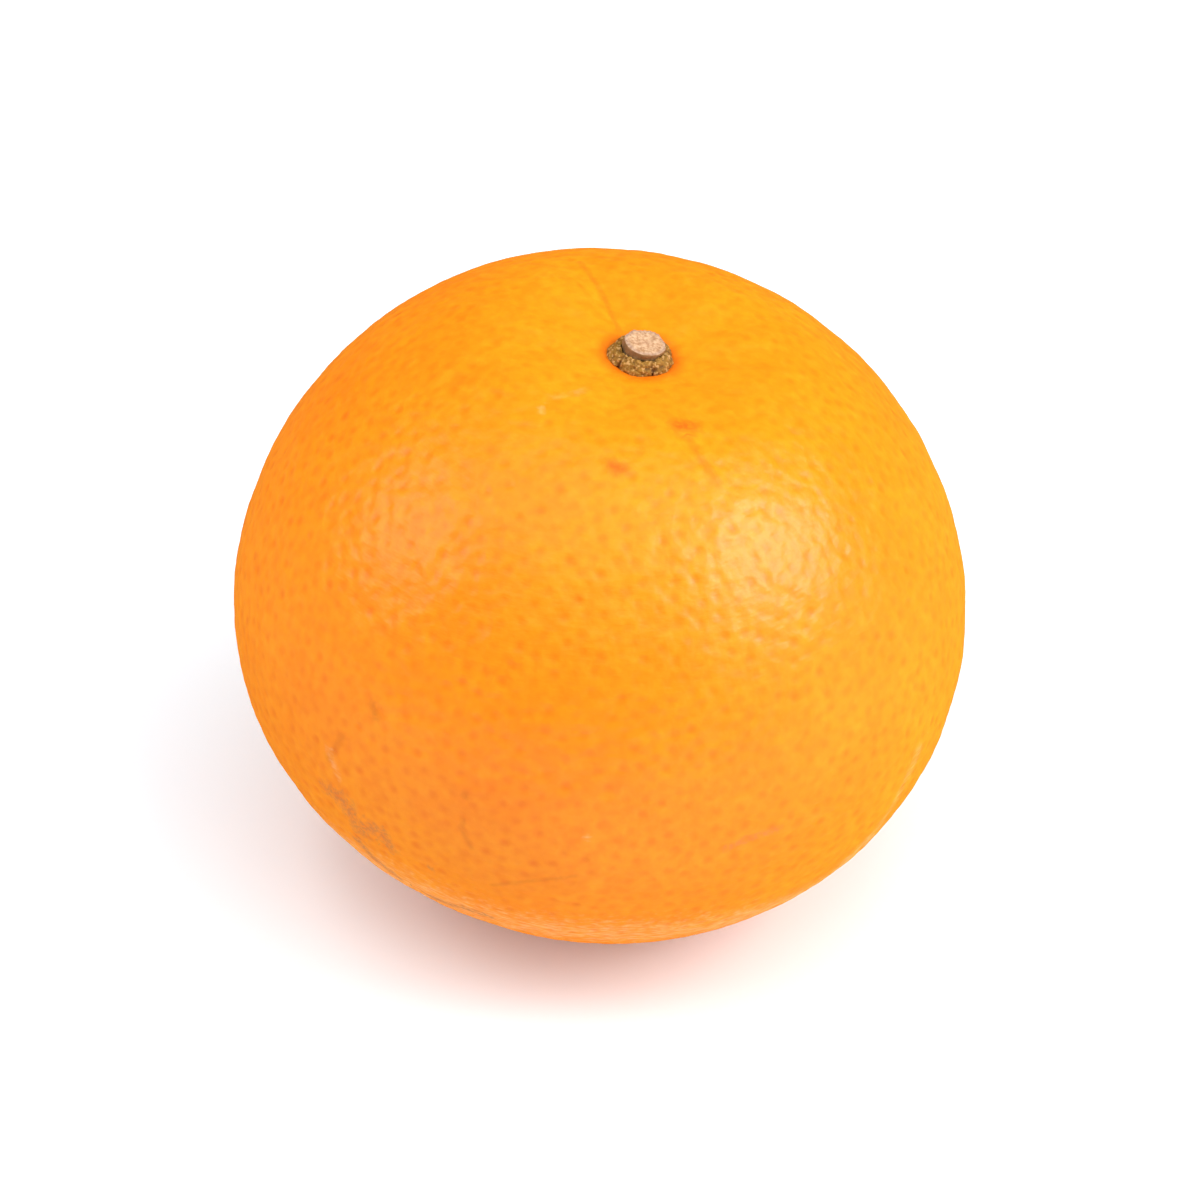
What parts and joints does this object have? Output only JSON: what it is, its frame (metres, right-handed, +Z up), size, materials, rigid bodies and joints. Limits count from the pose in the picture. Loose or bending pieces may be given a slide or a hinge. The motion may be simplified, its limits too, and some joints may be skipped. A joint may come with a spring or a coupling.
{
  "type": "mandarin",
  "caption": "Whole ripe mandarin, a slightly flattened round citrus fruit with dimpled orange rind, a lobed calyx and a short cut stem, for a fruit bowl or a crate.",
  "frame": {"origin": "on the plane of the flat spot that the fruit rests on, under the middle of its outline", "axes": "+Z up as the fruit lies; the stem end leans towards +X; -Y is the side seen in the picture"},
  "size_m": [0.0704, 0.0698, 0.0609],
  "materials": {
    "rind": "waxy citrus rind with oil-gland pits, half gloss",
    "calyx": "dry, warty, matt",
    "cut_stem": "dry cut end, matt"
  },
  "bodies": {
    "root": {"fruit": "rind", "calyx": "calyx", "stem_stub": "cut_stem"}
  },
  "joints": []
}
